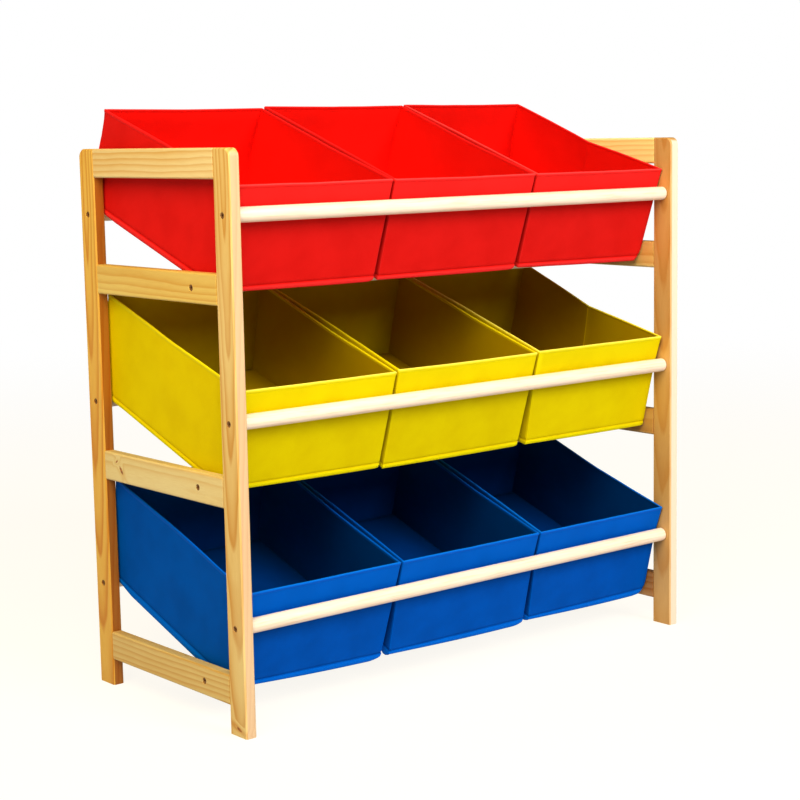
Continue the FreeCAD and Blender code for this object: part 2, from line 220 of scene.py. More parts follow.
def pine(name, grain, middle, seed, pith, tilt, ring_wide, contrast, tint, edge, knots=()):
    """Planed pine: growth rings round a pith that runs along the board, seen as arches where the board
    is tilted to it. Its front and rear faces take the edge colour by the edge share, which is painted
    light:
    a paler highlight on some boards, painted shade on others. Distances are in metres; knots are
    (along, across, radius, lean). Noise is drawn out along the grain."""
    f = Finish(name)
    local = f.vector("SUBTRACT", f.place(), middle)
    axes = f.parts(local)
    along, across, through = [axes[i] for i in GRAIN[grain]]
    stretched = f.join(f.math("MULTIPLY", along, 0.16), across, through)
    # the rings wander by a few millimetres along the board
    sway = f.math("SUBTRACT", f.noise(stretched, 26, 2, 0.45, seed), 0.5)
    shift = f.math("SUBTRACT", f.noise(stretched, 18, 2, 0.4, seed + 7.3), 0.5)
    ring_x = f.math("ADD", f.math("MULTIPLY_ADD", sway, 0.011, across), pith[0])
    ring_y = f.math("ADD", f.math("MULTIPLY_ADD", shift, 0.013, through), pith[1])
    ring_y = f.math("MULTIPLY_ADD", along, tilt, ring_y)
    radius = f.length(ring_x, ring_y)
    knot_mask = None
    for knot_along, knot_across, size, lean in knots:
        ahead = f.math("SUBTRACT", along, knot_along)
        off = f.math("SUBTRACT", across, knot_across)
        cos, sin = math.cos(lean), math.sin(lean)
        length = f.math("MULTIPLY_ADD", ahead, cos, f.math("MULTIPLY", off, sin))
        width = f.math("MULTIPLY_ADD", off, cos, f.math("MULTIPLY", ahead, -sin))
        gap = f.length(f.math("MULTIPLY", length, 0.36), width)
        push = f.remap(gap, size * 0.6, size * 4.5, 0.0055, 0.0)
        radius = f.math("ADD", radius, push)
        core = f.remap(gap, size * 0.55, size * 1.15, 1.0, 0.0)
        knot_mask = core if knot_mask is None else f.math("MAXIMUM", knot_mask, core)
    waves = f.noise(f.join(f.math("MULTIPLY", along, 0.34), across, through), 46, 2, 0.5, seed + 3.1)
    radius = f.math("MULTIPLY_ADD", f.math("SUBTRACT", waves, 0.5), 0.0034, radius)
    year = f.math("FRACT", f.math("DIVIDE", radius, ring_wide))

    def tone(red, green, blue):
        return srgb(*(min(255, value * share) for value, share in zip((red, green, blue), tint)))

    def between(share):
        share *= contrast
        return tone(*(a + (b - a) * share for a, b in zip(EARLY_WOOD, LATE_WOOD)))

    wood = f.ramp(year, [(0.0, between(0.1)), (0.3, between(0.15)), (0.62, between(0.5)),
                         (0.82, between(0.95)), (0.88, between(1.0)), (1.0, between(0.1))])
    fibre_at = f.join(f.math("MULTIPLY", along, 0.022), across, through)
    fibre = f.noise(fibre_at, 2600, 2, 0.6, seed)
    wood = f.mix(f.remap(fibre, 0.35, 0.75, 0.0, 0.22), wood, tone(188, 138, 64))
    blotch = f.noise(stretched, 34, 2, 0.5, seed + 11)
    wood = f.mix(f.remap(blotch, 0.35, 0.75, 0.0, 0.35 * contrast), wood, tone(208, 154, 60))
    pale = f.noise(stretched, 21, 1, 0.5, seed + 19)
    wood = f.mix(f.remap(pale, 0.45, 0.8, 0.0, 0.35), wood, tone(234, 220, 164))
    # the faces that look along y get painted light: a paler highlight on the front posts, painted shade on
    # the rear posts
    painted_face_mask = f.parts(f.vector("ABSOLUTE", f.add("TexCoord", "Normal")))[1]
    wood = f.mix(f.remap(painted_face_mask, 0.6, 0.95, 0.0, edge[1]), wood, edge[0])
    if knot_mask is not None:
        rings = f.math("SINE", f.math("MULTIPLY", radius, 5200))
        heart = f.mix(f.remap(rings, -1, 1), srgb(146, 88, 34), srgb(190, 124, 56))
        wood = f.mix(knot_mask, wood, heart)
    height = f.math("MULTIPLY_ADD", year, -0.35, f.math("MULTIPLY", fibre, 0.8))
    rough = f.remap(fibre, 0.3, 0.8, 0.38, 0.55)
    return f.finish(wood, rough, height, 0.12 * MM, Specular_IOR_Level=0.3, Coat_Weight=0.06,
                    Coat_Roughness=0.3)


def dowel_wood(name, seed, reach=1.0):
    """Turned, sanded pale wood with faint lines along it, with painted shade where its ends meet the
    boards.
    """
    f = Finish(name)
    x, y, z = f.parts(f.place())
    stretched = f.join(f.math("MULTIPLY", x, 0.05), y, z)
    lines = f.noise(stretched, 420, 3, 0.55, seed)
    fibre = f.noise(f.join(f.math("MULTIPLY", x, 0.03), y, z), 2600, 2, 0.6, seed + 5)
    wood = f.ramp(lines, [(0.3, srgb(246, 229, 212)), (0.55, srgb(243, 221, 200)),
                          (0.72, srgb(233, 200, 172))])
    wood = f.mix(f.remap(fibre, 0.4, 0.8, 0.0, 0.18), wood, srgb(222, 188, 144))
    # painted shade round each end, where it meets the boards
    end = f.remap(f.math("ABSOLUTE", x), reach - 1.4 * MM, reach - 0.2 * MM)
    wood = f.mix(end, wood, srgb(110, 66, 26))
    height = f.math("MULTIPLY", fibre, 0.8)
    rough = f.remap(lines, 0.3, 0.8, 0.42, 0.58)
    return f.finish(wood, rough, height, 0.08 * MM, Specular_IOR_Level=0.45, Coat_Weight=0.1,
                    Coat_Roughness=0.4)


def bronzed(name):
    """Screw metal with a stained, half dull face."""
    f = Finish(name)
    spot = f.noise(f.place(), 900, 3, 0.6, 2.0)
    colour = f.ramp(spot, [(0.35, srgb(112, 78, 42)), (0.6, srgb(150, 108, 60)),
                           (0.8, srgb(190, 148, 92))])
    return f.finish(colour, f.remap(spot, 0.3, 0.8, 0.3, 0.5), spot, 0.03 * MM, Metallic=0.35)


EMBOSSING = 1.5 * MM     # spacing of the cloth's embossed points
STITCH_LONG = 4.2 * MM
STITCH_LOW = 2.7 * MM    # how far the stitches are below the base
RIBS = 0.9 * MM          # spacing of the ribs on the bound edge


def fabric(name, base, pale_and_lit, dark, deep):
    """Spun-bonded cloth over board: point embossing, fibre mottle, a sewn seam low on the wall.
    The cloth attribute of each bin piece holds (run along the wall, height, painted light): that is 1 on a
    pale crease line and on painted highlights, 0 on plain cloth and -1 inside the bin, where the inside
    colour is painted shade (brighter painted light for red)."""
    f = Finish(name)
    cloth = f.add("Attribute", "Vector", attribute_name="cloth")
    run, high, fold = f.parts(cloth)
    place = f.place()
    fine = f.noise(place, 1500, 3, 0.6, 1.0)
    broad = f.noise(place, 22, 3, 0.5, 4.0)
    colour = f.mix(f.remap(fine, 0.3, 0.7, 0.0, 0.35), base, pale_and_lit)
    colour = f.mix(f.remap(broad, 0.35, 0.7, 0.0, 0.28), colour, dark)
    # embossed points, on a grid at 45 degrees
    pitch = math.tau / EMBOSSING
    row = f.math("SINE", f.math("MULTIPLY", f.math("ADD", run, high), pitch))
    column = f.math("SINE", f.math("MULTIPLY", f.math("SUBTRACT", run, high), pitch))
    pits = f.remap(f.math("MULTIPLY", row, column), 0.25, 0.8)
    colour = f.mix(f.math("MULTIPLY", pits, 0.12), colour, dark)
    # painted shade in the groove above the seam lip, and a painted highlight on the lip's face
    groove = f.math("MULTIPLY", f.remap(high, 0.1 * MM, 0.5 * MM),
                    f.remap(high, 1.1 * MM, 2.0 * MM, 1.0, 0.0))
    colour = f.mix(f.math("MULTIPLY", groove, 0.55), colour, dark)
    painted_lip_highlight = f.math("MULTIPLY", f.remap(high, -5.4 * MM, -4.2 * MM),
                  f.remap(high, -1.0 * MM, 0.0, 1.0, 0.0))
    colour = f.mix(f.math("MULTIPLY", painted_lip_highlight, 0.7), colour, pale_and_lit)
    # painted shade inside the bin (brighter painted light for red), then pale crease lines and painted
    # highlights
    colour = f.mix(f.remap(fold, -1.0, 0.0, 0.6, 0.0, smooth=False), colour, deep)
    colour = f.mix(f.remap(fold, 0.0, 1.0, 0.0, 0.8, smooth=False), colour, pale_and_lit)
    # stitches along the lip
    step = f.math("FRACT", f.math("DIVIDE", run, STITCH_LONG))
    dash = f.math("MULTIPLY", f.remap(step, 0.1, 0.2), f.remap(step, 0.75, 0.85, 1.0, 0.0))
    line = f.math("ABSOLUTE", f.math("ADD", high, STITCH_LOW))
    stitch = f.math("MULTIPLY", dash, f.remap(line, 0.2 * MM, 0.45 * MM, 1.0, 0.0))
    colour = f.mix(f.math("MULTIPLY", stitch, 0.5), colour, pale_and_lit)
    height = f.math("MULTIPLY_ADD", pits, -0.5, f.math("MULTIPLY", fine, 0.9))
    height = f.math("MULTIPLY_ADD", stitch, 2.0, height)
    rough = f.remap(fine, 0.3, 0.7, 0.62, 0.8)
    return f.finish(colour, rough, height, 0.1 * MM, Specular_IOR_Level=0.08, Specular_Tint=pale_and_lit,
                    Sheen_Weight=0.05, Sheen_Roughness=0.5, Sheen_Tint=pale_and_lit)


def binding(name, base, pale_and_lit, dark, deep):
    """Folded cloth edge with fine ribs across it, a painted highlight along its fold and painted shade on
    its inner face.
    """
    f = Finish(name)
    cloth = f.add("Attribute", "Vector", attribute_name="cloth")
    run, _, fold = f.parts(cloth)
    fine = f.noise(f.place(), 1300, 3, 0.6, 6.0)
    ribs = f.math("SINE", f.math("MULTIPLY", run, math.tau / RIBS))
    spots = f.remap(fine, 0.25, 0.75, 0.5, 1.0)
    # painted highlight along the fold, painted shade on the inner face
    colour = f.mix(f.math("MULTIPLY", f.math("MAXIMUM", fold, 0.0), spots), base, pale_and_lit)
    colour = f.mix(f.remap(fold, -1.0, 0.0, 0.8, 0.0, smooth=False), colour, deep)
    colour = f.mix(f.remap(ribs, 0.2, 1.0, 0.0, 0.12), colour, dark)
    height = f.math("MULTIPLY_ADD", ribs, 0.4, fine)
    rough = f.remap(fine, 0.3, 0.7, 0.55, 0.72)
    return f.finish(colour, rough, height, 0.08 * MM, Specular_IOR_Level=0.25, Specular_Tint=pale_and_lit,
                    Sheen_Weight=0.08, Sheen_Roughness=0.4, Sheen_Tint=pale_and_lit)


# ---------------------------------------------------------------- the two ladder frames and the dowels

def soften(piece, width):
    """Joins the tessellated faces and rounds their edges a little, on top of the CAD solid."""
    weld = piece.modifiers.new("weld", "WELD")
    weld.merge_threshold = 0.01 * MM
    bevel = piece.modifiers.new("edge", "BEVEL")
    bevel.width = width
    bevel.segments = 2
    bevel.limit_method = "ANGLE"
    bevel.angle_limit = math.radians(25)
    for face in piece.data.polygons:
        face.use_smooth = True
    if "custom_normal" in piece.data.attributes:
        piece.data.attributes.remove(piece.data.attributes["custom_normal"])
    piece.modifiers.new("normals", "WEIGHTED_NORMAL")


def dress(name, material):
    piece = nodes[name]
    piece.data.materials.clear()
    piece.data.materials.append(material)


# grain axis, place of the pith beside the board's middle, tilt of the board to it, ring width, contrast of
# the rings
BOARDS = {
    "front_post": ("z", (0.003, 0.0225), -0.062, 0.0056, 0.85),
    "rear_post": ("z", (-0.005, 0.0215), -0.058, 0.0060, 1.0),
    "top_rail": ("y", (0.030, 0.012), 0.012, 0.0062, 0.6),
    "upper_rung": ("y", (-0.016, 0.020), 0.010, 0.0060, 0.55),
    "middle_rung": ("y", (0.006, 0.020), 0.016, 0.0064, 0.35),
    "lower_rung": ("y", (0.022, 0.016), 0.014, 0.0056, 0.6),
}
# what each board's red, green and blue are multiplied by: partly its own tone, partly painted light and
# shade, darker on the right frame's posts and middle rung, which stand in shade, and brighter on its top
# rail, where the light falls
TINTS = {
    "left_front_post": (1.0, 1.0, 1.02),
    "left_rear_post": (1.02, 0.96, 0.7),
    "left_top_rail": (1.02, 1.04, 1.15),
    "left_upper_rung": (1.0, 1.0, 0.88),
    "left_middle_rung": (1.0, 1.04, 1.15),
    "left_lower_rung": (0.97, 0.98, 1.0),
    "right_front_post": (0.91, 0.84, 0.84),
    "right_rear_post": (0.91, 0.84, 0.84),
    "right_top_rail": (1.18, 1.22, 1.34),
    "right_middle_rung": (0.92, 0.84, 0.82),
    "right_lower_rung": (0.82, 0.72, 0.74),
}
# and how strong its rings are, where not as in BOARDS
CONTRAST = {"right_front_post": 0.5, "right_rear_post": 0.5, "right_lower_rung": 1.7}
# painted light on the narrow front and rear faces, and how much of it: a paler highlight on the front
# posts, painted shade on the rear posts
PAINTED_FACE_LIGHT = {
    "left_front_post": (srgb(208, 178, 154), 0.7),
    "right_front_post": (srgb(238, 222, 204), 0.85),
    "left_rear_post": (srgb(160, 86, 18), 0.8),
    "right_rear_post": (srgb(160, 96, 34), 0.8),
}
KNOTS = {
    "left_middle_rung": [(0.081, -0.002, 0.0022, 0.9), (0.090, 0.007, 0.0011, -0.6)],
    "left_front_post": [(-0.292, -0.002, 0.0018, 1.2)],
    "right_upper_rung": [(-0.02, 0.006, 0.002, 0.0)],
    "right_rear_post": [(0.11, -0.004, 0.002, 0.0)],
}
for turn, side in enumerate(("left", "right")):
    for count, (board, (grain, pith, tilt, rings, contrast)) in enumerate(BOARDS.items()):
        node = side + "_" + board
        low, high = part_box(node)
        seed = 3.7 * count + 31.0 * turn
        # the outer face looks away from the pith on both sides of the rack
        heart = (pith[0], pith[1] if turn == 0 else -pith[1])
        slope = tilt if turn == 0 else -tilt
        depth = contrast * CONTRAST.get(node, 1.0)
        material = pine(node + "_pine", grain, (low + high) / 2, seed, heart, slope, rings, depth,
                        TINTS.get(node, (1.0, 1.0, 1.0)), PAINTED_FACE_LIGHT.get(node, (srgb(240, 200, 130), 0.0)),
                        KNOTS.get(node, ()))
        dress(node, material)
        soften(nodes[node], 0.5 * MM)

TIERS = ("bottom", "middle", "top")
post_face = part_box("right_front_post")[0].x
for tier_index, tier in enumerate(TIERS):
    for row_index, row in enumerate(("front", "rear", "lower")):
        node = "%s_%s_dowel" % (tier, row)
        dress(node, dowel_wood(node + "_wood", 5.0 * tier_index + row_index, post_face))
        soften(nodes[node], 0.4 * MM)

pin_wood = dowel_wood("joint_pin_wood", 40.0)
screw_metal = bronzed("bronzed_steel")
for side in ("left", "right"):
    dress(side + "_joint_pins", pin_wood)
    dress(side + "_screws", screw_metal)
    soften(nodes[side + "_screws"], 0.25 * MM)


# ---------------------------------------------------------------- the bins

LIP = 5.5 * MM            # how far the seam lip reaches below the base
WALL = 2.2 * MM
BASE = 2.0 * MM
EDGE_RADIUS = 2.6 * MM    # of the upright edges, above the seam
STEPS = 54, 64            # parts of the front and rear walls, and of the side walls
ARC = 6                   # parts of each rounded corner
LEVELS = 24               # parts of the walls' height
CREASE = 29               # the step of the right wall that its crease is on
CREASE_PULL = 2.8 * MM    # how far the steps beside the crease are drawn to it
CREASE_SHARP = 110        # the crease's pale line takes one part in so many of the wall beside it
PALE_FOLD = 9.0, 14.0     # depth in mm from which a fold's line is pale, and where it is fully so
SIDE_INSET = 0.9 * MM     # how far the side walls stay inside the solid's
SEAM_REACH = 17 * MM      # how far behind the front the shape of its seam fades out
FORE_REACH = 45 * MM      # the same for a front wall that stands forward
CORNER_REACH = 160 * MM   # the same for the shift of the front corners
SIDE_SEAM = 36 * MM, 222 * MM   # between these places the side seams hang low,
SIDE_FADE = 20 * MM       # fading in and out over this length
DOWEL_EASE = 1.2 * MM     # space between a side seam and the dowel under it


def clamp(value, top=1.0):
    return min(max(value, 0.0), top)


def bin_frame(body):
    """Matrix of a bin's own frame (u across, s up the pitch, n out of the base) and its size."""
    lift = next(Vector(j["axis"]) for j in frame["joints"] if j["child"] == body).normalized()
    back = Vector((0, lift.z, -lift.y))
    turn = Matrix((Vector((1, 0, 0)), back, lift)).transposed().to_4x4()
    local = [turn.inverted() @ v.co for v in nodes[body + "_shell"].data.vertices]
    board = [turn.inverted() @ v.co for v in nodes[body + "_insert"].data.vertices]
    corner = Vector((min(p.x for p in local), min(p.y for p in local), min(p.z for p in board) - BASE))
    size = Vector((max(p.x for p in local), max(p.y for p in local), max(p.z for p in local))) - corner
    return turn @ Matrix.Translation(corner), size


def ring(size, radii):
    """Points round the wall in order: (u, s, outward u, outward s, wall, place along the wall, corner).
    The radii are those of the front right, rear right, rear left and front left upright edges."""
    lengths = (size.x, size.y, size.x, size.y)
    starts = (Vector((0, 0)), Vector((size.x, 0)), Vector((size.x, size.y)), Vector((0, size.y)))
    headings = (Vector((1, 0)), Vector((0, 1)), Vector((-1, 0)), Vector((0, -1)))
    points = []
    for wall in range(4):
        start, heading, length = starts[wall], headings[wall], lengths[wall]
        outward = Vector((heading.y, -heading.x))
        steps = STEPS[wall % 2]
        begin, end = radii[wall - 1], radii[wall]
        for k in range(steps + 1):
            place = begin + (length - begin - end) * k / steps
            if wall == 1 and abs(k - CREASE) == 1:
                place -= (k - CREASE) * CREASE_PULL
            at = start + heading * place
            points.append((at.x, at.y, outward.x, outward.y, wall, place, 0.0))
        centre = start + heading * (length - end) - outward * end
        for k in range(1, ARC):
            angle = math.pi / 2 * k / ARC
            way = outward * math.cos(angle) + heading * math.sin(angle)
            at = centre + way * end
            # the first half of the corner belongs to this wall, the rest to the next
            owner, place = (wall, length) if k * 2 <= ARC else ((wall + 1) % 4, 0.0)
            points.append((at.x, at.y, way.x, way.y, owner, place, math.sin(2 * angle)))
    return points


class Bin:
    """Shape of one soft bin: how far each wall point lies inside the flat wall, how the rim rises and sags,
    and how low the seam hangs."""

    def __init__(self, body, folds, give, seed):
        self.body = body
        self.matrix, self.size = bin_frame(body)
        self.folds = folds
        for name in GIVE_NAMES:
            setattr(self, name, give.get(name, 0.0) * MM)
        self.seed = seed
        tier = {"red": "top", "yellow": "middle", "blue": "bottom"}[body.split("_")[0]]
        back = self.matrix.inverted()
        self.dowels = []
        for row in ("lower", "rear"):
            low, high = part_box("%s_%s_dowel" % (tier, row))
            middle = back @ ((low + high) / 2)
            self.dowels.append((middle.y, middle.z, (high.z - low.z) / 2))
        low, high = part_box(tier + "_front_dowel")
        self.leaning = (back @ ((low + high) / 2)).z

    def length(self, wall):
        return self.size.x if wall % 2 == 0 else self.size.y

    def fold(self, wall, place):
        """0 at the wall's ends, 1 at its fold line."""
        length = self.length(wall)
        line = length * (CREASE / STEPS[1] if wall == 1 else 0.5)
        return max(0.0, place / line if place < line else (length - place) / (length - line))

    def up(self, high):
        """0 at the base, 1 at the top of the wall."""
        return clamp(high / self.size.z)

    def between_ends(self, wall, place):
        """0 at the wall's ends, 1 in its middle."""
        return math.sin(math.pi * clamp(place / self.length(wall)))

    def inset(self, wall, place, high, s):
        """How far a wall point lies inside the flat wall: its slack between the ends, and its fold."""
        length = self.length(wall)
        up = self.up(high)
        depth = self.folds[wall][0]
        ends = self.between_ends(wall, place)
        # a broad wave and a fine ripple, which differ from wall to wall and from bin to bin
        wave = noise.noise(Vector((place * 14, up * 1.6, self.seed + 5.0 * wall)))
        ripple = noise.noise(Vector((place * 45, up * 5.0, self.seed + 9.0 * wall)))
        soft = (self.slack * (0.5 + 0.5 * wave) + 0.25 * MM * ripple) * ends
        inside = SIDE_INSET if wall % 2 else 0.0
        if wall == 3 and self.flare:
            # above the ladder frame's top rail the wall may lean out
            inside -= self.flare * clamp((s / length - 0.55) / 0.35) * max(0.0, up - 0.62) / 0.38
        fold = depth * MM * up ** 1.4 * self.fold(wall, place) ** 1.05
        return max(soft, 0.0) * min(1.0, up * 4) + inside + fold

    def back(self, s, high):
        """How far a point is pushed back: the rear end leans or bellies out above the base, and the front
        wall may stand forward below its dowel."""
        up = self.up(high)
        far = max(0.0, s / self.size.y * 1.6 - 0.6)
        near = max(0.0, 1.0 - s / FORE_REACH)
        below = clamp(1.0 - high / self.leaning)
        rear = self.lean * up + self.belly * math.sin(math.pi * min(up * 1.1, 1.0))
        return rear * far - self.fore * below ** 1.1 * near

    def aside(self, u, s, high):
        """How far a point sits to the right: the front corners each have their own place at the rim and at
        the base, and the right side may be drawn in high at the rear."""
        across = clamp(u / self.size.x)
        up = self.up(high)
        ahead = max(0.0, 1.0 - s / CORNER_REACH)
        behind = clamp(s / self.size.y) ** 1.5
        rim = self.rim_left + (self.rim_right - self.rim_left) * across
        base = self.base_left + (self.base_right - self.base_left) * across
        return (base + (rim - base) * up) * ahead - self.tuck * across ** 2 * up * behind

    def level(self, wall, place, u, s, high):
        """Height of a wall point whose flat height is high; at or below 0 it is on the seam lip."""
        across = u / self.size.x
        droop = self.left_droop + (self.right_droop - self.left_droop) * across
        ahead = max(0.0, 1.0 - s / SEAM_REACH) ** 1.5
        if high > 0:
            up = high / self.size.z
            below = max(0.0, 1.0 - high / self.leaning)
            return high + self.rim_rise(wall, place, s) * up - droop * ahead * below
        low = self.front_seam(u, across, ahead) if s < SEAM_REACH else -LIP
        if wall % 2:
            low = self.side_seam(wall, s, high, low)
        return low * (-high / LIP) - droop * ahead

    def rim_rise(self, wall, place, s):
        """How much higher than on the flat wall the rim is."""
        ends = self.between_ends(wall, place)
        wave = noise.noise(Vector((place * 24, 3.0, self.seed + 2.0 * wall)))
        sag = self.folds[wall][1] * MM * self.fold(wall, place) ** 1.5 + 0.3 * MM * (1 + wave) * ends
        lift = self.rise * max(0.0, 1.0 - s / self.size.y) ** 1.2 - self.fall * s / self.size.y
        return lift - sag

    def front_seam(self, u, across, ahead):
        """Height of the lip's edge at the front: it deepens to the right and turns up in a round corner."""
        deep = -self.shallow + (self.shallow + self.swell) * math.sin(math.pi / 2 * min(across / 0.8, 1.0))
        turn = clamp((u - self.size.x) / max(self.turn_up, 0.1 * MM) + 1.0, 0.98)
        return -(LIP + deep) * (0.1 + 0.9 * math.sqrt(1.0 - turn * turn)) * ahead - LIP * (1.0 - ahead)

    def side_seam(self, wall, s, high, low):
        """Height of the lip's edge on a side wall: it hangs and arches over the two dowels under it."""
        start, end = SIDE_SEAM
        low -= self.side_droop * clamp(min(s - start, end - s) / SIDE_FADE)
        if wall == 3:
            low -= self.hang * math.sin(math.pi * clamp(s / SEAM_REACH))
        for middle, height, radius in self.dowels:
            gap = radius + DOWEL_EASE
            off = abs(s + self.back(s, high) - middle)
            if off < gap:
                low = max(low, min(height + math.sqrt(gap * gap - off * off), 0.0))
        return low


def run_of(wall, place, size):
    """Distance along the wall from the middle of the front, the same on both sides."""
    half = size.x / 2
    if wall == 0:
        return abs(place - half)
    if wall == 1:
        return half + place
    if wall == 2:
        return half + size.y + half - abs(place - half)
    return half + size.y - place


def strips(count):
    """Faces that close a ring: the front, a strip for each step of the two side walls, and the rear."""
    front, side = STEPS[0] + 1, STEPS[1] + 1
    corner = ARC - 1
    right = front + corner
    left = right + side + corner + front + corner
    faces = [(*range(left + side - 1, count), *range(right + 1))]
    for k in range(side - 1):
        faces.append((right + k, right + k + 1, left + side - 2 - k, left + side - 1 - k))
    faces.append(tuple(range(right + side - 1, left + 1)))
    return faces


def build(name, rows, caps, shape, material, node):
    """Mesh of stacked rings: rows are (points, tags), caps the rings that get a closing face."""
    mesh = bpy.data.meshes.new(name)
    count = len(rows[0][0])
    points, tags, faces = [], [], []
    for ring_points, ring_tags in rows:
        points += ring_points
        tags += ring_tags
    for level in range(len(rows) - 1):
        for k in range(count):
            a, b = level * count + k, level * count + (k + 1) % count
            faces.append((a, b, b + count, a + count))
    for level, upward in caps:
        for strip in strips(count):
            face = [level * count + k for k in strip]
            faces.append(tuple(face) if upward else tuple(reversed(face)))
    mesh.from_pydata(points, [], faces)
    cloth = mesh.attributes.new("cloth", "FLOAT_VECTOR", "POINT")
    cloth.data.foreach_set("vector", [value for tag in tags for value in tag])
    mesh.polygons.foreach_set("use_smooth", [True] * len(mesh.polygons))
    mesh.set_sharp_from_angle(angle=math.radians(50))
    mesh.materials.append(material)
    piece = bpy.data.objects.new(name, mesh)
    piece.matrix_world = shape.matrix
    scene.collection.objects.link(piece)
    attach(piece, shape.body)
    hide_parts(node)
    if shape.fore and not node.endswith("_insert"):
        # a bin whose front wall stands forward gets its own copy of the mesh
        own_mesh(piece)
    return piece


def wall_row(shape, high, depth, radii, inner=False):
    """One ring of the wall: high above the base, depth inside the outer face. A tag is the cloth
    attribute that fabric() describes."""
    points, tags = [], []
    for u, s, out_u, out_s, wall, place, corner in ring(shape.size, radii):
        level = shape.level(wall, place, u, s, high)
        inside = depth + shape.inset(wall, place, high, s)
        points.append((u - out_u * inside + shape.aside(u, s, high),
                       s - out_s * inside + shape.back(s, high), level))
        # a deep fold shows as a pale line
        deep = clamp((shape.folds[wall][0] - PALE_FOLD[0]) / (PALE_FOLD[1] - PALE_FOLD[0]))
        crease_and_light = deep * max(0.0, shape.fold(wall, place) * CREASE_SHARP - (CREASE_SHARP - 1))
        # inside the bin the tag is painted shade at -1, rising to the pale crease line
        if inner:
            crease_and_light = 2.0 * crease_and_light - 1.0
        elif high > 3 * MM:
            # painted highlights on the upright edges and on the front above its dowel; a strip along the
            # front's left edge above the dowel is lighter too
            crease_and_light = max(crease_and_light * 0.6, corner * 0.5)
            if wall == 0:
                if shape.strip and high > shape.leaning:
                    crease_and_light = max(crease_and_light, clamp((shape.strip - u) / (3 * MM)))
                crease_and_light = max(crease_and_light, 0.4 * clamp((high - shape.leaning) / (8 * MM)))
        tags.append((run_of(wall, place, shape.size), high, crease_and_light))
    return points, tags


def corner_radii(shape, high, share=1.0):
    """Upright edges are crisp; the front right one may open into a round corner at the seam, the rear
    ones do, and the front left one is crisper there."""
    near = clamp(1.0 - (high + LIP) / (16 * MM)) ** 2
    return [(EDGE_RADIUS + grow * near) * share for grow in (shape.corner, 5 * MM, 5 * MM, -1.2 * MM)]


def make_shell(shape, material):
    """Walls, seam lip and base. The profile's rows are (height, depth in mm inside the flat outer face):
    the lip, the groove above it, and the plain wall."""
    profile = [(-LIP, 0.9), (-5.0 * MM, 0.25), (-3.6 * MM, 0.0), (-1.8 * MM, 0.0), (-0.4 * MM, 0.12),
               (0.35 * MM, 0.75), (0.9 * MM, 0.95), (1.5 * MM, 0.6), (2.6 * MM, 0.3), (4.5 * MM, 0.25)]
    top = shape.size.z
    seam, plain = profile[-1]
    profile += [(seam + (top - seam) * k / LEVELS, plain) for k in range(1, LEVELS + 1)]
    # rings run from the underside, round the lip, up the wall and down inside it to the floor
    rows = [wall_row(shape, 0.0, 2.4 * MM, corner_radii(shape, 0.0)),
            wall_row(shape, -4.8 * MM, 2.3 * MM, corner_radii(shape, -LIP)),
            wall_row(shape, -LIP, 1.6 * MM, corner_radii(shape, -LIP))]
    for high, depth in profile:
        rows.append(wall_row(shape, high, depth * MM, corner_radii(shape, high)))
    for k in range(LEVELS + 1):
        high = top - (top - BASE) * k / LEVELS
        rows.append(wall_row(shape, high, WALL, corner_radii(shape, high, 0.6), inner=True))
    caps = [(0, False), (len(rows) - 1, True)]
    return build(shape.body + "_soft_shell", rows, caps, shape, material, shape.body + "_shell")


def make_hem(shape, material):
    """The bound edge. The profile's rows are (mm above the wall's top, mm inside its outer face, painted
    light: 1 a painted highlight along the fold, -1 painted shade inside the bin).
    """
    top = shape.size.z
    profile = [(-1.4, 0.3, 0), (-0.9, 0.0, 0), (-0.2, -0.2, 0), (1.2, -0.22, 0.3), (1.9, -0.05, 0.8),
               (2.3, 0.45, 1), (2.4, 1.1, 1), (2.3, 1.75, 0.8), (1.9, 2.25, 0), (1.2, 2.42, -1),
               (-0.2, 2.4, -1), (-0.9, 2.2, -1), (-1.4, 1.9, -1)]
    # the two side walls lie between these distances along the wall
    begin, end = run_of(1, 0.0, shape.size), run_of(2, 0.0, shape.size)
    rows = []
    for above, depth, pale_and_lit in profile:
        points, tags = wall_row(shape, top + above * MM, depth * MM, corner_radii(shape, top))
        # where dull, the side walls' hems lose the painted highlight and take a little painted shade
        side_lit = pale_and_lit * 0.2 - 0.2 if shape.dull else pale_and_lit
        rows.append((points, [(run, high, side_lit if begin < run < end else pale_and_lit)
                              for run, high, _ in tags]))
    rows.append(rows[0])
    return build(shape.body + "_hem", rows, [], shape, material, shape.body + "_rim")


def make_board(shape, material):
    """The loose base board, covered with the bin's cloth. The profile's rows are (mm above the base, mm
    inside the board's edge)."""
    inner = WALL + 1.0 * MM
    profile = [(0.05, 1.4), (0.3, 0.5), (0.9, 0.0), (1.7, 0.0), (2.3, 0.5), (2.5, 1.5), (2.5, 6.0)]
    size = shape.size
    rows = []
    for above, depth in profile:
        inside = inner + depth * MM
        points, tags = [], []
        for u, s, out_u, out_s, wall, place, _ in ring(size, [6 * MM] * 4):
            points.append((u - out_u * inside + shape.aside(u, s, BASE), s - out_s * inside,
                           BASE + above * MM))
            # the tag's height is above the seam, so that the board has no stitches, and its -1 gives it the
            # inside colour, painted shade
            tags.append((run_of(wall, place, size), 10 * MM, -1.0))
        rows.append((points, tags))
    caps = [(0, False), (len(rows) - 1, True)]
    return build(shape.body + "_base_board", rows, caps, shape, material, shape.body + "_insert")


